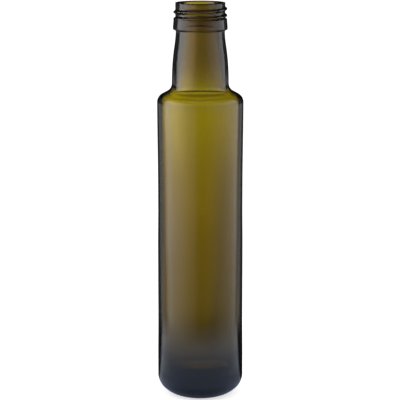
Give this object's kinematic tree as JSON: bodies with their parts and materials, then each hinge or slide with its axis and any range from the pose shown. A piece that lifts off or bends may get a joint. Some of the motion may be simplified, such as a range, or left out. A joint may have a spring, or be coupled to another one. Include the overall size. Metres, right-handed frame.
{
  "type": "glass bottle",
  "caption": "Empty cylindrical oil bottle in dark olive-green glass, with a rounded stepped shoulder, a short bell-shaped neck and an open screw finish above a plain collar.",
  "frame": {"origin": "on the bottle's axis, on the plane that its contact ring stands on", "axes": "+Z along the bottle's axis, up towards the mouth; +X points to where the thread's height is measured; the body is round, so +X and +Y have no other meaning"},
  "size_m": [0.049, 0.049, 0.226],
  "materials": {
    "olive_glass": "smooth transparent dark olive-green container glass, glossy"
  },
  "bodies": {
    "root": {"bottle": "olive_glass"}
  },
  "joints": []
}
